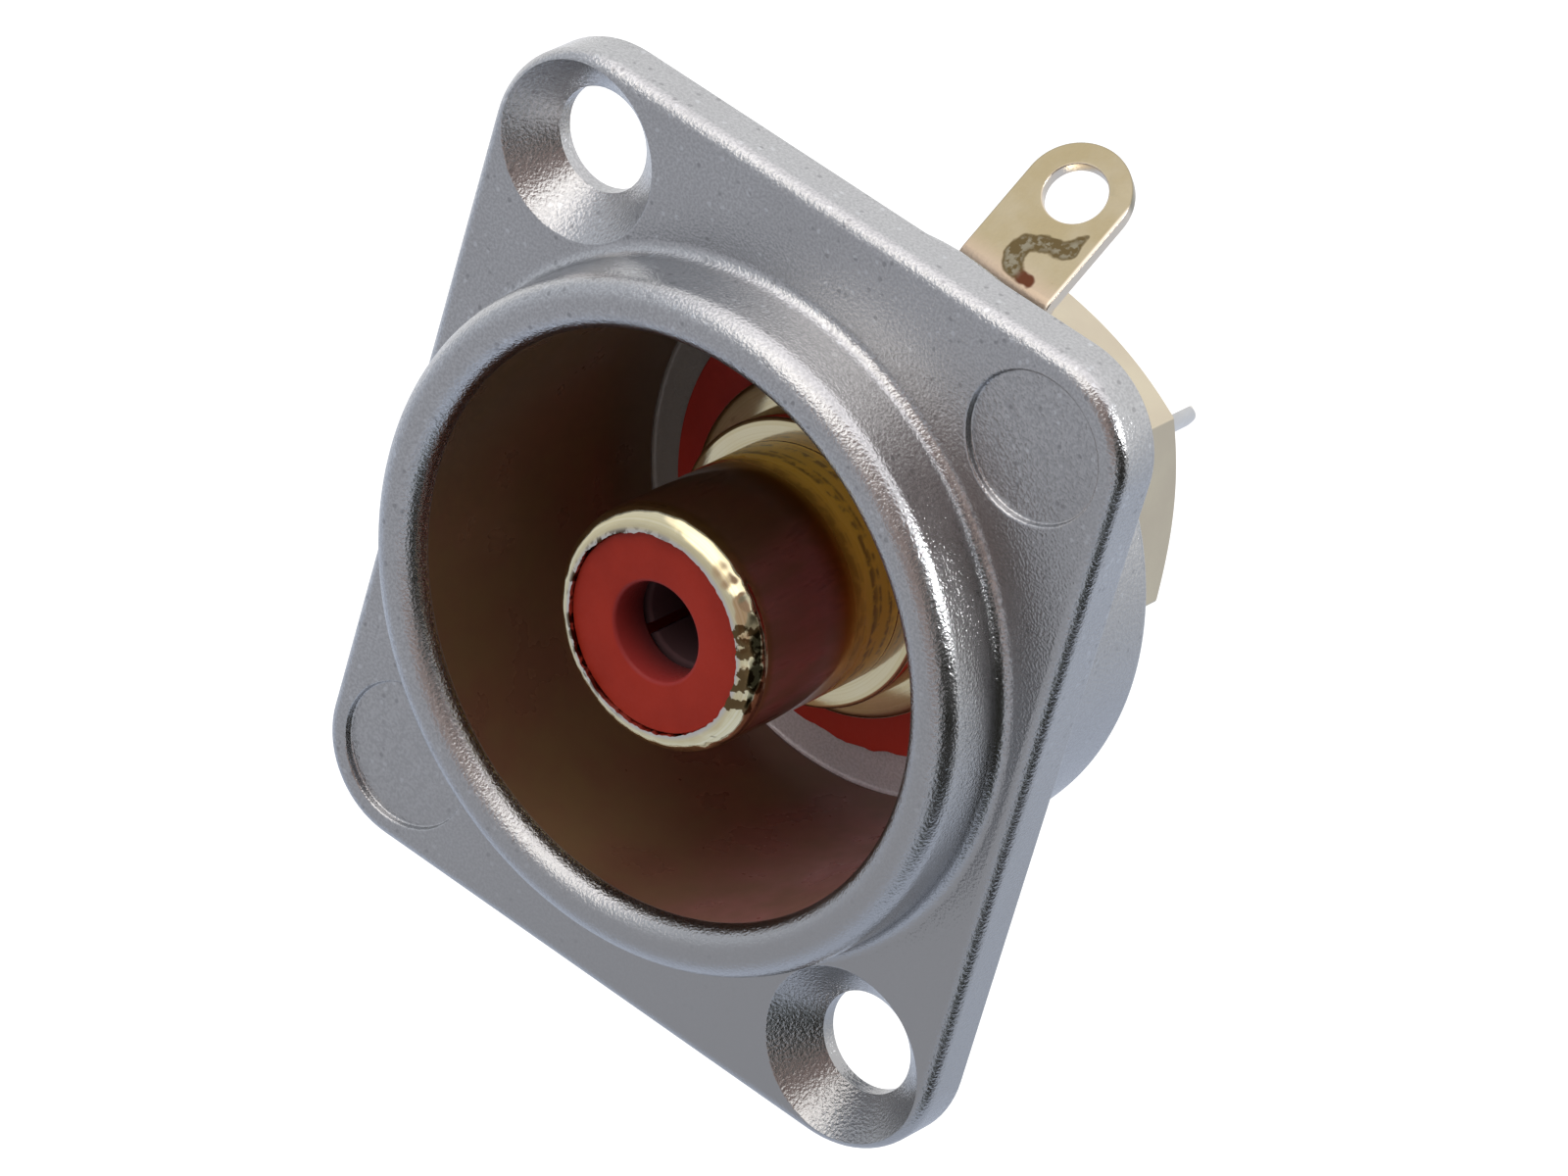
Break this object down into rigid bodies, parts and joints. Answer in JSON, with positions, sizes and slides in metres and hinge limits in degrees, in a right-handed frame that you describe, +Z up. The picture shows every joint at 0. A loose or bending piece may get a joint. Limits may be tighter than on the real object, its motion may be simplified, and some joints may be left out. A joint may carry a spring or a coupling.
{
  "type": "phono panel socket",
  "caption": "Panel-mount phono socket: rectangular die-cast flange with two countersunk holes, round collar and cup, insulated gold-plated jack, ground tag and hexagon nut.",
  "frame": {"origin": "on the socket's axis, in the flange's rear face, which seats on the panel", "axes": "+Y along the socket's axis, towards the rear of the panel; the plug comes in from -Y; +Z up; +X right as seen from the front"},
  "size_m": [0.026, 0.0278, 0.031],
  "materials": {
    "satin_zinc": "satin nickel on die-cast zinc",
    "gold_plate": "bright pale gold plating",
    "red_plastic": "moulded, slightly glossy",
    "washer_steel": "plated spring steel",
    "contact_plate": "tin-plated brass"
  },
  "bodies": {
    "root": {"housing": "satin_zinc", "front_insulating_washer": "red_plastic", "rear_insulating_washer": "red_plastic", "jack_shell": "gold_plate", "nose_insulator": "red_plastic", "centre_contact": "contact_plate", "rear_insulator": "red_plastic", "ground_tag": "gold_plate", "lock_washer": "washer_steel", "hex_nut": "gold_plate"}
  },
  "joints": []
}
